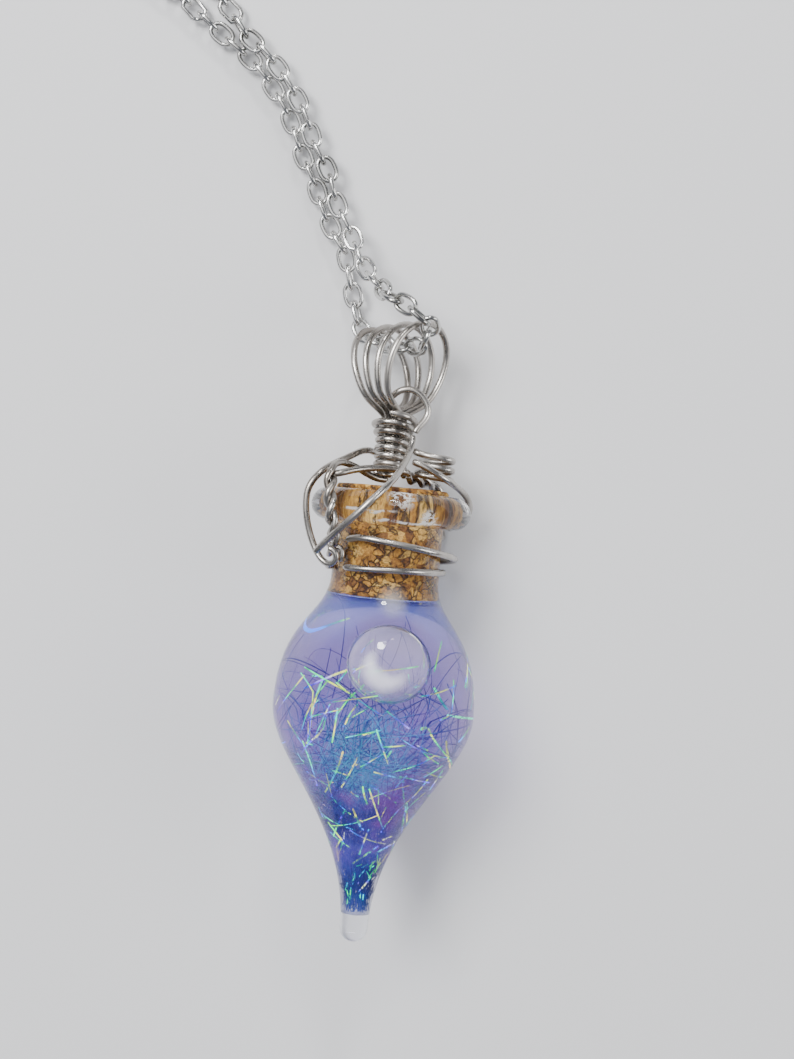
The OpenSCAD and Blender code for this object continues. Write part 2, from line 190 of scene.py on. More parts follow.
# The even light from above: how wide it is spread, and the way it shines
SKY_WIDTH, SKY_WAY = math.radians(70), Vector((0.35, -0.3, -1.0))

# Broad lamps that leave no mirror image on the glass
UNMIRRORED = ("key_light", "fill_light", "sky_light")

# The studio round about, and how far the floor goes each way in metres
STUDIO_COLOUR, STUDIO_STRENGTH = (0.86, 0.9, 1.0, 1.0), 0.26
FLOOR_REACH = 6.0

# The camera's lean across the bottle's axis, and what it faces, in millimetres on the bottle
CAMERA_LEAN = math.radians(5.14)
CAMERA_X, CAMERA_Z = 0.63, 33.9


def placed(x, y, z):
    """A point of the standing bottle, in millimetres, at its place in the scene"""
    return LAID @ (Vector((x, y, z)) * MM)


# Sizes and colours that a user would change


class FillingSettings(bpy.types.PropertyGroup):
    """The liquid and what floats in it"""

    tint: bpy.props.FloatVectorProperty(
        name="Tint", description="Colour that the liquid lets through", subtype="COLOR",
        size=3, min=0, max=1, default=(0.3, 0.1, 0.86),
    )
    haze: bpy.props.FloatProperty(
        name="Haze", description="How milky the liquid is at its thickest",
        min=0, max=1, default=0.44,
    )
    hairs: bpy.props.IntProperty(
        name="Hairs", description="Number of fine fibres", min=0, max=2000, default=950,
    )
    slivers: bpy.props.IntProperty(
        name="Slivers", description="Number of bright foil slivers", min=0, max=400, default=120,
    )
    hair_width: bpy.props.FloatProperty(
        name="Hair width", description="Thickness of a fibre", unit="LENGTH",
        min=0.00001, max=0.0002, default=0.000044,
    )
    bubble_width: bpy.props.FloatProperty(
        name="Bubble", description="Width of the air bubble", unit="LENGTH",
        min=0.001, max=0.008, default=0.0064,
    )


class MetalSettings(bpy.types.PropertyGroup):
    """The wire and the chain"""

    wire: bpy.props.FloatVectorProperty(
        name="Wire", description="Colour of the harness wire", subtype="COLOR",
        size=3, min=0, max=1, default=(0.46, 0.435, 0.405),
    )
    chain: bpy.props.FloatVectorProperty(
        name="Chain", description="Colour of the chain", subtype="COLOR",
        size=3, min=0, max=1, default=(0.64, 0.635, 0.62),
    )


class StageSettings(bpy.types.PropertyGroup):
    """The floor, the light and the camera"""

    floor: bpy.props.FloatVectorProperty(
        name="Floor", description="Colour of the floor", subtype="COLOR",
        size=3, min=0, max=1, default=(0.72, 0.72, 0.73),
    )
    key_power: bpy.props.FloatProperty(
        name="Key light", description="Power of the main soft light in watts",
        min=0, max=50, default=2.6,
    )
    sky_power: bpy.props.FloatProperty(
        name="Sky light", description="Strength of the even light over the whole floor",
        min=0, max=20, default=1.5,
    )
    distance: bpy.props.FloatProperty(
        name="Distance", description="Camera's distance from the bottle's axis",
        unit="LENGTH", min=0.05, max=2, default=0.2,
    )
    picture_height: bpy.props.FloatProperty(
        name="Picture height", description="Height that the picture takes in at the bottle",
        unit="LENGTH", min=0.02, max=1, default=0.0867,
    )


# Materials


class Value:
    """A number socket that adds its Math nodes when it stands in an expression"""

    def __init__(self, shading, socket):
        self.shading = shading
        self.socket = socket

    def _math(self, operation, first, second):
        return self.shading.node(
            "ShaderNodeMath", {"operation": operation}, {0: first, 1: second}
        )

    def __add__(self, other):
        return self._math("ADD", self, other)

    def __sub__(self, other):
        return self._math("SUBTRACT", self, other)

    def __mul__(self, other):
        return self._math("MULTIPLY", self, other)


class Shading:
    """One material and the nodes that it is made of"""

    def __init__(self, name):
        self.material = bpy.data.materials.new(name)
        self.material.use_nodes = True
        self.tree = self.material.node_tree
        self.tree.nodes.clear()
        self.place = self.node("ShaderNodeTexCoord", {}, {}, "Object")

    def node(self, kind, settings, sockets, output=0):
        """Adds a node, sets it, fills its sockets with values or links, and returns one output"""
        made = self.tree.nodes.new(kind)
        for key, setting in settings.items():
            if key == "stops":
                ramp = made.color_ramp.elements
                while len(ramp) < len(setting):
                    ramp.new(1.0)
                for element, (position, colour) in zip(ramp, setting):
                    element.position = position
                    element.color = (*colour, 1.0)
            else:
                setattr(made, key, setting)
        for key, value in sockets.items():
            if isinstance(value, Value):
                self.tree.links.new(value.socket, made.inputs[key])
            elif isinstance(value, (tuple, list)) and made.inputs[key].type == "RGBA":
                made.inputs[key].default_value = (*value[:3], 1.0)
            else:
                made.inputs[key].default_value = value
        return Value(self, made.outputs[output])

    def noise(self, scale, detail=2.0, roughness=0.5, place=None):
        """Cloudy noise about a half, with so many features to a metre"""
        return self.node(
            "ShaderNodeTexNoise", {},
            {"Vector": place or self.place, "Scale": scale, "Detail": detail,
             "Roughness": roughness},
        )

    def ramp(self, value, stops):
        """A colour that runs through the stops, each a position and a colour"""
        return self.node("ShaderNodeValToRGB", {"stops": stops}, {0: value})

    def spread(self, value, low, high, to_low=0.0, to_high=1.0):
        """The value between low and high, spread over a new range and held to it"""
        return self.node(
            "ShaderNodeMapRange", {"interpolation_type": "SMOOTHSTEP"},
            {0: value, 1: low, 2: high, 3: to_low, 4: to_high},
        )

    def mixed(self, factor, first, second, blend="MIX"):
        """Two colours mixed by a factor"""
        return self.node(
            "ShaderNodeMix", {"data_type": "RGBA", "blend_type": blend},
            {0: factor, 6: first, 7: second}, 2,
        )

    def bump(self, height, strength, distance):
        """A normal bent by a height"""
        return self.node(
            "ShaderNodeBump", {}, {"Height": height, "Strength": strength, "Distance": distance}
        )

    def vector(self, operation, first, second, output=0):
        """Vector maths on two vectors"""
        return self.node(
            "ShaderNodeVectorMath", {"operation": operation}, {0: first, 1: second}, output
        )

    def distance_from(self, point):
        """Distance of the shaded place from a point of the scene"""
        return self.vector("DISTANCE", self.place, tuple(point), 1)

    def nearness(self, place, full, none):
        """One within so many millimetres of a place of the standing bottle, fading to nought"""
        return self.spread(self.distance_from(placed(*place)), full * MM, none * MM, 1.0, 0.0)

    def height_above(self, point, axis):
        """Distance of the shaded place from a point, measured along an axis"""
        away = self.vector("SUBTRACT", self.place, tuple(point))
        return self.vector("DOT_PRODUCT", away, tuple(axis), 1)

    def scaled(self, vector, scale):
        """A vector or colour times a number"""
        return self.node(
            "ShaderNodeVectorMath", {"operation": "SCALE"}, {0: vector, "Scale": scale}
        )

    def principled(self, sockets):
        """The all-round surface shader"""
        return self.node("ShaderNodeBsdfPrincipled", {}, sockets)

    def transparent(self, colour):
        """Lets light straight on, tinted by the colour"""
        return self.node("ShaderNodeBsdfTransparent", {}, {"Color": colour})

    def either(self, factor, first, second):
        """The first shader, giving way to the second as the factor goes to one"""
        return self.node("ShaderNodeMixShader", {}, {0: factor, 1: first, 2: second})

    def finish(self, surface, depth=None):
        """Links the shader, and what fills the shape if anything does, to the output"""
        made = self.tree.nodes.new("ShaderNodeOutputMaterial")
        self.tree.links.new(surface.socket, made.inputs["Surface"])
        if depth is not None:
            self.tree.links.new(depth.socket, made.inputs["Volume"])
        return self.material


def steel(name, colour, dark, roughness):
    """Drawn steel wire: a soft shine that wanders, fine scratches and a little tarnish"""
    s = Shading(name)
    tarnish = s.spread(s.noise(240.0, 2.0), 0.42, 0.7)
    wander = s.noise(620.0, 3.0, 0.6)
    return s.finish(s.principled({
        "Base Color": s.mixed(tarnish, tuple(colour), tuple(dark)),
        "Metallic": 1.0,
        "Roughness": s.spread(wander, 0.3, 0.75, roughness - 0.07, roughness + 0.09),
        "Normal": s.bump(s.noise(5200.0, 2.0, 0.7), 0.1, 0.00003),
    }))


def lets_light_in(s, surface, colour):
    """Glass that lamps shine through: shadow rays pass straight on, a little tinted"""
    shadow = s.node("ShaderNodeLightPath", {}, {}, "Is Shadow Ray")
    return s.either(shadow, surface, s.transparent(colour))


def clear_glass():
    """Lampworked glass: slow waves over it, a pitted lip, and painted white highlights at its
    front
    """
    s = Shading("clear_glass")
    lip_middle = placed(0, 0, LIP_Z)
    from_lip = s.distance_from(lip_middle)
    pitted = s.noise(1300.0, 3.0, 0.65) * s.spread(from_lip, 6.6 * MM, 8.0 * MM, 1.0, 0.0)
    pitted = pitted * s.spread(from_lip, 5.4 * MM, 6.6 * MM, 1.0, 0.35)
    glass = s.principled({
        "Base Color": (0.95, 0.96, 1.0),
        "Roughness": 0.0,
        "IOR": 1.47,
        "Transmission Weight": 1.0,
        "Normal": s.bump(s.noise(130.0, 1.0) * 0.5 + pitted * 0.5, 0.3, 0.00012),
    })

    # Painted highlights: white flecks near the lip, like crust, that glow
    grain = s.noise(2400.0, 4.0, 0.8)
    highlight_flecks = 0.0
    for place, reach in HIGHLIGHT_FLECKS:
        highlight_flecks = s.nearness(place, reach * 0.3, reach) + highlight_flecks
    painted_highlights = s.spread(grain, 0.47, 0.54) * highlight_flecks

    # Painted glints in broken streaks along the lip
    axis = LAID.to_3x3() @ Vector((0, 0, 1))
    height = s.height_above(lip_middle, axis) + (s.noise(420.0, 2.0) - 0.5) * 0.9 * MM
    broken = s.spread(s.noise(1100.0, 3.0, 0.7), 0.42, 0.56)
    for level, place, reach in GLINT_STREAKS:
        rise = s.spread(height, (level - GLINT_HALF_WIDTH) * MM, level * MM)
        fall = s.spread(height, level * MM, (level + GLINT_HALF_WIDTH) * MM, 1.0, 0.0)
        painted_highlights = rise * fall * broken * s.nearness(place, reach * 0.6, reach) + painted_highlights
    # A painted gleam smeared where neck and shoulder meet
    neck_gleam = s.distance_from(placed(*NECK_GLEAM)) + (grain - 0.5) * 0.6 * MM
    painted_highlights = s.spread(neck_gleam, 0.3 * MM, 1.8 * MM, 0.45, 0.0) + painted_highlights

    # The white that glows wherever the painted highlights lie
    highlight_paint = s.principled({
        "Base Color": (0.94, 0.92, 0.9),
        "Roughness": 0.35,
        "Emission Color": (1.0, 0.98, 0.96),
        "Emission Strength": 0.55,
    })
    return s.finish(lets_light_in(s, s.either(painted_highlights, glass, highlight_paint), (0.93, 0.94, 0.98)))


def tinted_liquid(settings, bubble_middle):
    """Violet liquid under a thin milky film, teal in the middle and deep blue at the tip"""
    s = Shading("tinted_liquid")
    from_tip = s.distance_from(placed(0, 0, 0))
    shoulder = s.spread(from_tip, 24.0 * MM, 27.0 * MM)
    patches = s.noise(210.0, 3.0, 0.6)
    from_teal = s.distance_from(placed(*TEAL_FILM)) + patches * 3.0 * MM
    colour = s.ramp(
        patches,
        [(0.34, (0.05, 0.03, 0.46)), (0.48, (0.12, 0.1, 0.72)), (0.6, (0.36, 0.11, 0.7))],
    )
    teal = s.spread(from_teal, 2.6 * MM, 7.0 * MM, 1.0, 0.0)
    colour = s.mixed(teal, colour, (0.03, 0.3, 0.66))
    colour = s.mixed(shoulder, colour, (0.24, 0.3, 0.85))
    blue = s.mixed(patches, (0.005, 0.01, 0.22), (0.02, 0.16, 0.7))
    colour = s.mixed(s.spread(from_tip, 3.0 * MM, 9.0 * MM, 1.0, 0.0), colour, blue)

    clear_of_bubble = s.spread(s.distance_from(bubble_middle), 3.0 * MM, 4.8 * MM)
    low_down = s.spread(from_tip, 15.5 * MM, 25.5 * MM, 1.0, 0.03)
    tail = s.spread(from_tip, 5.0 * MM, 12.0 * MM, 1.7, 1.0)
    patchy = s.spread(patches, 0.3, 0.7, 0.35, 1.0)
    milky = clear_of_bubble * (low_down * tail * patchy + shoulder * 0.58) * settings.haze
    film = s.principled({"Base Color": colour, "Roughness": 0.6})
    depth = s.node(
        "ShaderNodeVolumePrincipled", {},
        {"Color": LIQUID_SCATTER, "Density": LIQUID_DENSITY,
         "Absorption Color": tuple(settings.tint)},
    )
    return s.finish(s.either(milky, s.transparent((1.0, 1.0, 1.0)), film), depth)


def air_bubble(middle):
    """Air in the liquid, which bends light the other way, with a painted pale gleam over its
    front
    """
    s = Shading("air_bubble")
    air = s.principled({
        "Base Color": (1.0, 1.0, 1.0),
        "Roughness": 0.0,
        "IOR": 0.86,
        "Transmission Weight": 1.0,
        "Normal": s.bump(s.noise(180.0, 1.0), 0.1, 0.0002),
    })
    # Painted gleam: a pale matt film, faint all over the bubble and strong in a crescent
    painted_gleam = s.principled({"Base Color": (0.95, 0.93, 0.98), "Roughness": 0.4})
    streaks = s.noise(900.0, 2.0, 0.6) * 0.5 * MM
    from_gleam = s.distance_from(placed(*(middle + GLEAM))) + streaks
    from_window = s.distance_from(placed(*(middle + GLEAM_WINDOW))) + streaks
    crescent = s.spread(from_gleam, 1.2 * MM, 2.5 * MM, 1.0, 0.0)
    crescent = crescent * s.spread(from_window, 1.3 * MM, 2.4 * MM)
    bubble = s.either(crescent * 0.8 + 0.08, air, painted_gleam)
    return s.finish(lets_light_in(s, bubble, (0.96, 0.97, 1.0)))


def composition_cork():
    """Pressed cork granules: golden brown, some redder, with painted shade in the pits and cracks
    between them
    """
    s = Shading("composition_cork")
    bend = s.node(
        "ShaderNodeTexNoise", {}, {"Vector": s.place, "Scale": 700.0, "Detail": 2.0}, "Color"
    )
    place = s.vector("ADD", s.place, s.scaled(bend, 0.0011))
    granules = {"Vector": place, "Scale": 1500.0, "Randomness": 1.0}
    granule = s.node("ShaderNodeTexVoronoi", {}, granules, "Color")
    edge = s.node("ShaderNodeTexVoronoi", {"feature": "DISTANCE_TO_EDGE"}, granules)
    tone = s.ramp(
        s.node("ShaderNodeSeparateColor", {}, {0: granule}),
        [(0.0, (0.15, 0.05, 0.008)), (0.2, (0.34, 0.15, 0.018)),
         (0.6, (0.56, 0.28, 0.036)), (1.0, (0.72, 0.46, 0.12))],
    )
    fine = s.noise(4200.0, 4.0, 0.75)
    mottled = s.mixed(s.spread(fine, 0.4, 0.62), tone, (0.5, 0.42, 0.3), "MULTIPLY")
    # Painted shade: near black in the pits and in the cracks between granules, which the bump
    # sinks
    shaded_pits = s.spread(s.noise(1500.0, 4.0, 0.8, place), 0.37, 0.45, 1.0, 0.0)
    some = s.spread(s.noise(500.0, 2.0), 0.42, 0.6)
    shaded_cracks = s.spread(edge, 0.0, 0.11, 1.0, 0.0) * some
    dark = s.node("ShaderNodeMath", {"operation": "MAXIMUM"}, {0: shaded_pits, 1: shaded_cracks})
    return s.finish(s.principled({
        "Base Color": s.mixed(dark * 0.9, mottled, (0.035, 0.012, 0.004)),
        "Roughness": 0.7,
        "Normal": s.bump(fine * 0.4 - dark, 0.9, 0.00022),
    }))


def fibre():
    """Fine fibres, dark blue to violet, and paler teal ones where the tangle is thickest"""
    s = Shading("fibre")
    change = s.noise(330.0, 2.0)
    dark = s.ramp(
        change,
        [(0.3, (0.004, 0.004, 0.05)), (0.46, (0.01, 0.01, 0.16)),
         (0.58, (0.02, 0.06, 0.3)), (0.7, (0.1, 0.02, 0.3))],
    )
    teal = s.nearness(TEAL_TANGLE, 2.0, 6.0) * s.spread(change, 0.44, 0.56)
    return s.finish(
        s.principled({"Base Color": s.mixed(teal, dark, (0.1, 0.7, 0.85)), "Roughness": 0.45})
    )


def foil():
    """Iridescent foil slivers, yellow-green, cyan, blue and violet, that glow with painted light
    and painted glints
    """
    s = Shading("foil")
    colour = s.ramp(
        s.noise(430.0, 1.0),
        [(0.34, (1.0, 0.85, 0.1)), (0.39, (0.6, 0.95, 0.02)), (0.44, (0.01, 1.0, 0.08)),
         (0.5, (0.0, 0.9, 0.35)), (0.55, (0.0, 0.4, 1.0)), (0.6, (0.1, 0.01, 1.0)),
         (0.67, (0.8, 1.0, 0.12))],
    )
    # Painted glints: the slivers glow, though they are no lamp, brighter in patches along them
    painted_glint = s.spread(s.noise(700.0, 2.0), 0.42, 0.62, 0.7, 3.2)
    return s.finish(s.principled({
        "Base Color": colour,
        "Roughness": 0.2,
        "Metallic": 1.0,
        "Emission Color": s.scaled(colour, painted_glint),
        "Emission Strength": 1.0,
    }))


def pale_floor(colour):
    """A plain matt floor, with hardly any change of tone"""
    s = Shading("pale_floor")
    cloudy = s.spread(s.noise(14.0, 2.0), 0.3, 0.7)
    tone = s.mixed(cloudy, tuple(colour), tuple(c * 0.97 for c in colour))
    return s.finish(s.principled({"Base Color": tone, "Roughness": 0.6}))


# Shapes


def smooth_line(points, steps):
    """A smooth line through given points, as the solids have it"""
    line = []
    for i in range(len(points) - 1):
        a, b = points[max(i - 1, 0)], points[i]
        c, d = points[i + 1], points[min(i + 2, len(points) - 1)]
        for k in range(steps):
            t = k / steps
            line.append(
                0.5 * (2 * b + (c - a) * t + (2 * a - 5 * b + 4 * c - d) * t * t
                       + (3 * b - a - 3 * c + d) * t ** 3)
            )
    line.append(points[-1])
    return line


def outer_line(steps=44):
    """The outside of the glass from its drip tip to the foot of its neck, as radius and height"""
    tip = [Vector((TIP_R * math.sin(a), TIP_R * (1 - math.cos(a))))
           for a in (math.radians(10 * k) for k in range(9))]
    taper = geometry.interpolate_bezier(
        Vector((TIP_R, TIP_R)), Vector((TIP_R, TIP_R + TIP_PULL)),
        Vector((BELLY_R, BELLY_Z - TAPER_PULL)), Vector((BELLY_R, BELLY_Z)), steps)
    shoulder = geometry.interpolate_bezier(
        Vector((BELLY_R, BELLY_Z)), Vector((BELLY_R, BELLY_Z + SHOULDER_PULL)),
        Vector((NECK_R, NECK_Z - NECK_PULL)), Vector((NECK_R, NECK_Z)), steps)
    return tip + taper + shoulder[1:]


OUTSIDE = outer_line()


def inner_radius(z):
    """Radius of the hollow at a height"""
    for low, high in zip(OUTSIDE, OUTSIDE[1:]):
        if low.y <= z <= high.y:
            share = (z - low.y) / max(high.y - low.y, 1e-6)
            return low.x + (high.x - low.x) * share - WALL
    return NECK_R - WALL


def turned(line, steps=128):
    """Spins a line of radius and height about the bottle's axis into a closed shape"""
    bm = bmesh.new()
    verts = [bm.verts.new((x * MM, 0, z * MM)) for x, z in line]
    edges = [bm.edges.new(pair) for pair in zip(verts, verts[1:])]
    bmesh.ops.spin(
        bm, geom=verts + edges, cent=(0, 0, 0), axis=(0, 0, 1), angle=2 * math.pi,
        steps=steps, use_merge=True,
    )
    bmesh.ops.remove_doubles(bm, verts=bm.verts, dist=1e-7)
    bmesh.ops.recalc_face_normals(bm, faces=bm.faces)
    return bm


def add_piece(name, bm, material, slot, *nodes):
    """Makes a mesh object of a shape that is already in place, riding on the pendant"""
    mesh = bpy.data.meshes.new(name)
    bm.to_mesh(mesh)
    bm.free()
    mesh.shade_smooth()
    mesh.materials.append(material)
    piece = bpy.data.objects.new(name, mesh)
    bpy.context.scene.collection.objects.link(piece)
    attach(piece, "root")
    if nodes:
        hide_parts(*nodes)
    return piece


def laid(bm):
    """Turns a shape that stands on its tip to how the pendant lies"""
    bmesh.ops.transform(bm, matrix=LAID, verts=bm.verts)
    return bm


def rounded(node, sides, radius):
    """A copy of a solid's faceted wires, merged, and grown by what rounding takes off"""
    bm = bmesh.new()
    bm.from_mesh(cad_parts[node].data)
    bmesh.ops.remove_doubles(bm, verts=bm.verts, dist=2e-6)
    bmesh.ops.join_triangles(
        bm, faces=bm.faces, angle_face_threshold=JOIN_BEND, angle_shape_threshold=JOIN_SKEW
    )
    bm.normal_update()
    kept = (2 + math.cos(2 * math.pi / sides)) / 3 * FACET_LOSS[sides]
    shift = radius * MM * (1 / kept - 1)
    for v in bm.verts:
        v.co += v.normal * shift
    return bm


def round_off(piece):
    """Rounds a faceted piece with a live subdivision"""
    subdivision = piece.modifiers.new("Rounding", "SUBSURF")
    subdivision.levels = ROUNDING_LEVELS
    subdivision.render_levels = ROUNDING_LEVELS


def strands(name, lines, width, material):
    """Thin strands, each a line of points and its share of the width, turned into one mesh"""
    curve = bpy.data.curves.new(name, "CURVE")
    curve.dimensions = "3D"
    curve.bevel_depth = width / 2
    curve.bevel_resolution = 0
    curve.use_fill_caps = True
    for line, share in lines:
        spline = curve.splines.new("POLY")
        spline.points.add(len(line) - 1)
        for point, at in zip(spline.points, line):
            point.co = (*(LAID @ (at * MM)), 1.0)
            point.radius = share
    drawn = bpy.data.objects.new(name + "_line", curve)
    bpy.context.scene.collection.objects.link(drawn)
    bpy.context.view_layer.update()
    drawn_now = drawn.evaluated_get(bpy.context.evaluated_depsgraph_get())
    made = bpy.data.meshes.new_from_object(drawn_now)
    bm = bmesh.new()
    bm.from_mesh(made)
    bpy.data.meshes.remove(made)
    bpy.data.objects.remove(drawn)
    bpy.data.curves.remove(curve)
    bmesh.ops.recalc_face_normals(bm, faces=bm.faces)
    add_piece(name, bm, material, "tinted_liquid")


def bubble_place():
    """Middle of the air bubble, which floats up against the front wall"""
    return Vector((BUBBLE_X, -(inner_radius(BUBBLE_Z) - BUBBLE_OFF_WALL), BUBBLE_Z))


def inside_filling(point, clearance):
    """True if a point lies in the liquid, off its wall and off the bubble"""
    if not LOWEST_STRAND < point.z < HIGHEST_STRAND:
        return False
    if math.hypot(point.x, point.y) > inner_radius(point.z) - clearance:
        return False
    away = point - bubble_place()
    return sum((far / room) ** 2 for far, room in zip(away, BUBBLE_ROOM)) > 1.0


def curled_line(rng, z, length, curl, points, arc=ALL_ROUND, outward=0.5):
    """A line that bends steadily, shorter and more upright where the bottle is narrow.

    The lower outward is, the nearer to the wall the lines start.
    """
    reach = max(inner_radius(z) - 0.25, 0.15)
    room = min(1.0, reach / 4.5)
    turn, far = rng.uniform(*arc), reach * rng.random() ** outward
    at = Vector((far * math.cos(turn), far * math.sin(turn), z))
    way = Vector((rng.gauss(0, room), rng.gauss(0, room), rng.gauss(0, 1))).normalized()
    axis = way.orthogonal().normalized()
    axis.rotate(Matrix.Rotation(rng.uniform(0, 2 * math.pi), 3, way))
    step = length * (0.3 + 0.7 * room) / (points - 1)
    line = []
    for _ in range(points):
        line.append(at.copy())
        at = at + way * step
        way.rotate(Matrix.Rotation(curl * step, 3, axis))
    return line


def chain_link():
    """A mesh of one link about the scene's origin: its wire spun round and drawn to an oval"""
    bm = bmesh.new()
    bend_r = (LINK_WIDTH - LINK_WIRE) / 2
    made = bmesh.ops.create_circle(bm, segments=LINK_SIDES, radius=LINK_WIRE / 2 * MM)["verts"]
    bmesh.ops.rotate(bm, verts=made, matrix=Matrix.Rotation(math.pi / 2, 3, "X"))
    bmesh.ops.translate(bm, verts=made, vec=(bend_r * MM, 0, 0))
    bmesh.ops.rotate(bm, verts=made, matrix=Matrix.Rotation(math.pi / LINK_STEPS, 3, "Z"))
    bmesh.ops.spin(
        bm, geom=bm.verts[:] + bm.edges[:], cent=(0, 0, 0), axis=(0, 0, 1),
        angle=2 * math.pi, steps=LINK_STEPS, use_merge=True,
    )
    pull = (LINK_LENGTH / 2 - LINK_WIRE / 2 - bend_r) * MM
    for v in bm.verts:
        v.co.x += pull if v.co.x > 0 else -pull
    bmesh.ops.recalc_face_normals(bm, faces=bm.faces)
    mesh = bpy.data.meshes.new("chain_link")
    bm.to_mesh(mesh)
    bm.free()
    return mesh


def evenly(line, first, pitch):
    """Places and headings a pitch apart along a line, from a first distance on"""
    places = []
    wanted, far = first, 0.0
    for a, b in zip(line, line[1:]):
        length = (b - a).length
        while wanted <= far + length:
            places.append((a.lerp(b, (wanted - far) / length), (b - a).normalized()))
            wanted += pitch
        far += length
    return places


def hidden_links():
    """The links of the hidden run, laid on the floor along both sides of the loop"""
    out = Vector((-LOOP_HEADING.y, LOOP_HEADING.x))
    tip_at = Vector((LAID.translation.x / MM, LAID.translation.y / MM))
    link = chain_link()
    bm = bmesh.new()
    for side, first, roll in FIRST_LINKS:
        rows = [
            LOOP_AT + LOOP_HEADING * far + out * (side * wide) + tip_at for far, wide in HALF_ROWS
        ]
        line = smooth_line(rows, 8)
        for i, (at, way) in enumerate(evenly(line, first, LINK_PITCH)):
            settled = min(i / SETTLING_LINKS, 1.0)
            height = FIRST_HEIGHT + (SETTLED_HEIGHT - FIRST_HEIGHT) * settled
            rolled = math.radians(roll + SETTLED_ROLL * settled + 90 * (i % 2))
            there = Matrix.Translation(Vector((at.x, at.y, height)) * MM)
            there = there @ Matrix.Rotation(math.atan2(way.y, way.x), 4, "Z")
            there = there @ Matrix.Rotation(rolled, 4, "X")
            link.transform(there)
            bm.from_mesh(link)
            link.transform(there.inverted())
    bpy.data.meshes.remove(link)
    return bm


# Operators


class PENDANT_OT_stage(bpy.types.Operator):
    """Lay the floor, set the soft lights and aim the camera square on to the bottle"""

    bl_idname = "pendant.stage"
    bl_label = "Stage"

    def execute(self, context):
        settings = context.scene.pendant_stage
        bm = bmesh.new()
        bmesh.ops.create_grid(bm, x_segments=1, y_segments=1, size=FLOOR_REACH)
        mesh = bpy.data.meshes.new("floor")
        bm.to_mesh(mesh)
        bm.free()
        mesh.materials.append(pale_floor(settings.floor))
        floor = bpy.data.objects.new("floor", mesh)
        context.scene.collection.objects.link(floor)

        middle = placed(0, 0, LAMPS_AIM_Z)
        for name, place, width, share in LAMPS:
            light = bpy.data.lights.new(name, "AREA")
            light.shape = "DISK"
            light.size = width
            light.energy = settings.key_power * share
            lamp = bpy.data.objects.new(name, light)
            lamp.location = middle + Vector(place)
            lamp.rotation_euler = (middle - lamp.location).to_track_quat("-Z", "Y").to_euler()
            context.scene.collection.objects.link(lamp)

        light = bpy.data.lights.new("sky_light", "SUN")
        light.angle = SKY_WIDTH
        light.energy = settings.sky_power
        lamp = bpy.data.objects.new("sky_light", light)
        lamp.rotation_euler = SKY_WAY.to_track_quat("-Z", "Y").to_euler()
        context.scene.collection.objects.link(lamp)

        for name in UNMIRRORED:
            receivers = bpy.data.collections.new("off_" + name)
            bpy.data.objects[name].light_linking.receiver_collection = receivers

        world = bpy.data.worlds.new("studio")
        world.use_nodes = True
        background = world.node_tree.nodes["Background"]
        background.inputs["Color"].default_value = STUDIO_COLOUR
        background.inputs["Strength"].default_value = STUDIO_STRENGTH
        context.scene.world = world

        right = Vector((math.cos(CAMERA_LEAN), 0, math.sin(CAMERA_LEAN)))
        up = Vector((-math.sin(CAMERA_LEAN), 0, math.cos(CAMERA_LEAN)))
        back = Vector((0, -1, 0))
        at = Vector((CAMERA_X * MM, -settings.distance, CAMERA_Z * MM))
        aim = Matrix((right, up, back)).transposed().to_4x4()
        camera = bpy.data.cameras.new("camera")
        camera.lens = camera.sensor_width * settings.distance / settings.picture_height
        camera.clip_start = 0.01
        viewer = bpy.data.objects.new("camera", camera)
        viewer.matrix_world = LAID @ Matrix.Translation(at) @ aim
        context.scene.collection.objects.link(viewer)
        context.scene.camera = viewer
        return {"FINISHED"}


class PENDANT_OT_bottle(bpy.types.Operator):
    """Blow the glass drop, with its lip, its bore and its solid tip"""

    bl_idname = "pendant.bottle"
    bl_label = "Glass bottle"

    def execute(self, context):
        mouth_r = NECK_R - WALL
        line = [(p.x, p.y) for p in OUTSIDE]
        line += [(NECK_R, NECK_Z + k) for k in (1, 2, 3, 4)]
        for k in range(LIP_POINTS):
            a = math.radians(LIP_FROM + LIP_STEP * k)
            line.append((LIP_RING_R + LIP_R * math.cos(a), LIP_Z + LIP_R * math.sin(a)))
        line += [
            (mouth_r, LIP_Z + 0.2), (mouth_r, CORK_BOTTOM + 3), (mouth_r, CORK_BOTTOM + 0.1),
            (mouth_r - 0.1, CORK_BOTTOM - 0.04), (0, CORK_BOTTOM - 0.05),
        ]
        glass = add_piece(
            "glass", laid(turned(line)), clear_glass(), "clear_glass", "glass_bottle"
        )
        for name in UNMIRRORED:
            off = bpy.data.objects[name].light_linking.receiver_collection
            off.objects.link(glass)
            off.collection_objects[0].light_linking.link_state = "EXCLUDE"
        return {"FINISHED"}


class PENDANT_OT_filling(bpy.types.Operator):
    """Pour the tinted liquid and leave the air bubble against its front"""

    bl_idname = "pendant.filling"
    bl_label = "Liquid and bubble"

    def execute(self, context):
        settings = context.scene.pendant_filling
        middle = bubble_place()
        heights = [HOLLOW_Z + 0.1 + LIQUID_ROW * k for k in range(LIQUID_ROWS)]
        line = [(0, HOLLOW_Z), *((inner_radius(z) - LIQUID_GAP, z) for z in heights)]
        line.append((0, CORK_BOTTOM - 0.2))
        liquid = tinted_liquid(settings, LAID @ (middle * MM))
        shape = laid(turned(line, steps=96))
        add_piece("liquid", shape, liquid, "tinted_liquid", "liquid_filling")

        bm = bmesh.new()
        bmesh.ops.create_uvsphere(
            bm, u_segments=64, v_segments=40, radius=settings.bubble_width / 2
        )
        bmesh.ops.scale(bm, vec=BUBBLE_SHAPE, verts=bm.verts)
        bmesh.ops.translate(bm, vec=middle * MM, verts=bm.verts)
        add_piece("bubble", laid(bm), air_bubble(middle), "clear_glass")
        return {"FINISHED"}


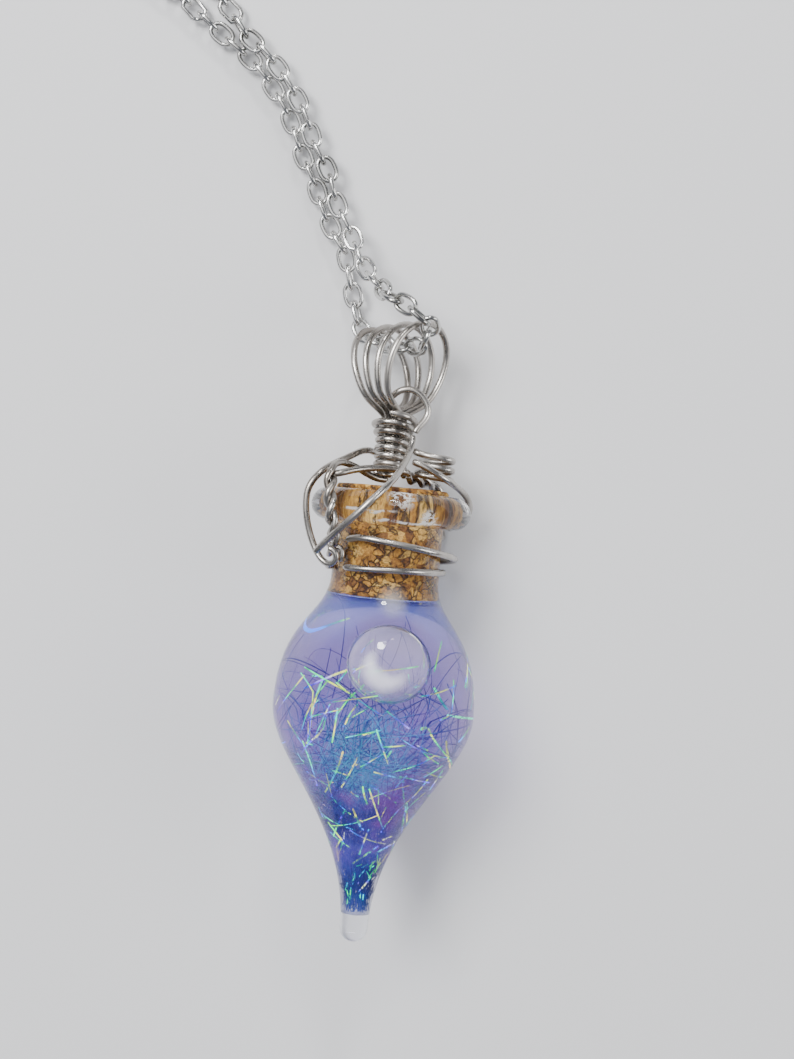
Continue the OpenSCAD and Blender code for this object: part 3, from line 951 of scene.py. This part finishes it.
class PENDANT_OT_fibres(bpy.types.Operator):
    """Float the tangle of fine hairs and the bright foil slivers in the liquid"""

    bl_idname = "pendant.fibres"
    bl_label = "Fibres and slivers"

    def execute(self, context):
        settings = context.scene.pendant_filling
        rng = random.Random(SEED)
        hairs = []
        while len(hairs) < settings.hairs:
            z = rng.triangular(*HAIR_HEIGHTS)
            line = curled_line(rng, z, rng.uniform(*HAIR_LENGTHS), rng.uniform(*HAIR_BENDS), 9)
            if all(inside_filling(p, HAIR_OFF_WALL) for p in line):
                hairs.append((line, rng.uniform(*HAIR_WIDTHS)))
        while len(hairs) < settings.hairs * TAIL_HAIRS:
            z, length = rng.uniform(*TAIL_HAIR_HEIGHTS), rng.uniform(*TAIL_HAIR_LENGTHS)
            line = curled_line(rng, z, length, TAIL_HAIR_BEND, 5)
            if all(inside_filling(p, TAIL_OFF_WALL) for p in line):
                hairs.append((line, rng.uniform(*TAIL_HAIR_WIDTHS)))
        strands("hairs", hairs, settings.hair_width, fibre())

        slivers = []
        while len(slivers) < settings.slivers:
            arc = FRONT_HALF if rng.random() < FRONT_SHARE else ALL_ROUND
            z, length = rng.triangular(*SLIVER_HEIGHTS), rng.uniform(*SLIVER_LENGTHS)
            line = curled_line(rng, z, length, rng.uniform(*SLIVER_BENDS), 5, arc, 0.3)
            if all(inside_filling(p, SLIVER_OFF_WALL) for p in line):
                slivers.append((line, rng.uniform(*SLIVER_WIDTHS)))
        while len(slivers) < settings.slivers * TAIL_SLIVERS:
            z, length = rng.uniform(*TAIL_SLIVER_HEIGHTS), rng.uniform(*TAIL_SLIVER_LENGTHS)
            line = curled_line(rng, z, length, 0.0, 3, FRONT_HALF, 0.2)
            if all(inside_filling(p, TAIL_OFF_WALL) for p in line):
                slivers.append((line, rng.uniform(*TAIL_SLIVER_WIDTHS)))
        strands("slivers", slivers, SLIVER_WIDTH * MM, foil())
        return {"FINISHED"}


class PENDANT_OT_cork(bpy.types.Operator):
    """Press the cork of granules, chipped a little at its top"""

    bl_idname = "pendant.cork"
    bl_label = "Cork"

    def execute(self, context):
        plug_r = NECK_R - WALL + PRESSED
        line = [(0, CORK_BOTTOM), (plug_r - 0.12, CORK_BOTTOM)]
        line.append((plug_r - 0.01, CORK_BOTTOM + 0.12))
        line += [(plug_r, CORK_BOTTOM + 0.5 + 0.35 * k) for k in range(21)]
        line += [(plug_r + more, z) for more, z in CORK_SWELL]
        line += [(plug_r * k / 10, CORK_TOP) for k in range(10, -1, -1)]
        bm = turned(line, steps=96)
        bm.normal_update()
        for v in bm.verts:
            grain = noise.noise(v.co / MM * 1.5) * 0.1 + noise.noise(v.co / MM * 3.5) * 0.06
            top = 1.0 if v.co.z > (LIP_Z + 1.0) * MM else 0.15
            v.co += v.normal * (min(grain, 0.02) * MM * top)
        add_piece("cork", laid(bm), composition_cork(), "cork", "cork_stopper")
        return {"FINISHED"}


class PENDANT_OT_harness(bpy.types.Operator):
    """Round off the wires of the harness and its bail"""

    bl_idname = "pendant.harness"
    bl_label = "Wire harness"

    def execute(self, context):
        colour = context.scene.pendant_metal.wire
        wire = steel("harness_wire", colour, WIRE_TARNISH, WIRE_ROUGHNESS)
        for node, sides in HARNESS.items():
            shape = rounded(node, sides, WIRE_R)
            round_off(add_piece(node + "_wire", shape, wire, "harness_wire", node))
        return {"FINISHED"}


class PENDANT_OT_chain(bpy.types.Operator):
    """Round off the visible links and lay links along the hidden run of the loop"""

    bl_idname = "pendant.chain"
    bl_label = "Chain"

    def execute(self, context):
        colour = context.scene.pendant_metal.chain
        silver = steel("chain_metal", colour, CHAIN_TARNISH, CHAIN_ROUGHNESS)
        shape = rounded("chain_front", LINK_SIDES, LINK_WIRE / 2)
        round_off(add_piece("chain_links", shape, silver, "chain_metal", "chain_front"))
        add_piece("chain_hidden_links", hidden_links(), silver, "chain_metal", "chain_back")
        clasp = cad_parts["clasp"].data
        clasp.materials.clear()
        clasp.materials.append(silver)
        return {"FINISHED"}


class PENDANT_PT_panel(bpy.types.Panel):
    """The pendant's pieces, in the order they are made"""

    bl_idname = "PENDANT_PT_panel"
    bl_label = "Bottle pendant"
    bl_space_type = "VIEW_3D"
    bl_region_type = "UI"
    bl_category = "Pendant"

    def draw(self, context):
        layout = self.layout
        for operator in OPERATORS:
            layout.operator(operator.bl_idname)
        for name in ("pendant_filling", "pendant_metal", "pendant_stage"):
            group = getattr(context.scene, name)
            for key in group.__annotations__:
                layout.prop(group, key)


OPERATORS = (
    PENDANT_OT_stage,
    PENDANT_OT_bottle,
    PENDANT_OT_filling,
    PENDANT_OT_fibres,
    PENDANT_OT_cork,
    PENDANT_OT_harness,
    PENDANT_OT_chain,
)
CLASSES = (FillingSettings, MetalSettings, StageSettings, *OPERATORS, PENDANT_PT_panel)


def register():
    """Adds the classes, and the settings to the scene"""
    for cls in CLASSES:
        bpy.utils.register_class(cls)
    bpy.types.Scene.pendant_filling = bpy.props.PointerProperty(type=FillingSettings)
    bpy.types.Scene.pendant_metal = bpy.props.PointerProperty(type=MetalSettings)
    bpy.types.Scene.pendant_stage = bpy.props.PointerProperty(type=StageSettings)


def unregister():
    """Takes away what register adds"""
    del bpy.types.Scene.pendant_filling
    del bpy.types.Scene.pendant_metal
    del bpy.types.Scene.pendant_stage
    for cls in reversed(CLASSES):
        bpy.utils.unregister_class(cls)


def main():
    """Makes every piece in order"""
    register()
    bpy.ops.pendant.stage()
    bpy.ops.pendant.bottle()
    bpy.ops.pendant.filling()
    bpy.ops.pendant.fibres()
    bpy.ops.pendant.cork()
    bpy.ops.pendant.harness()
    bpy.ops.pendant.chain()


if __name__ == "__main__":
    main()
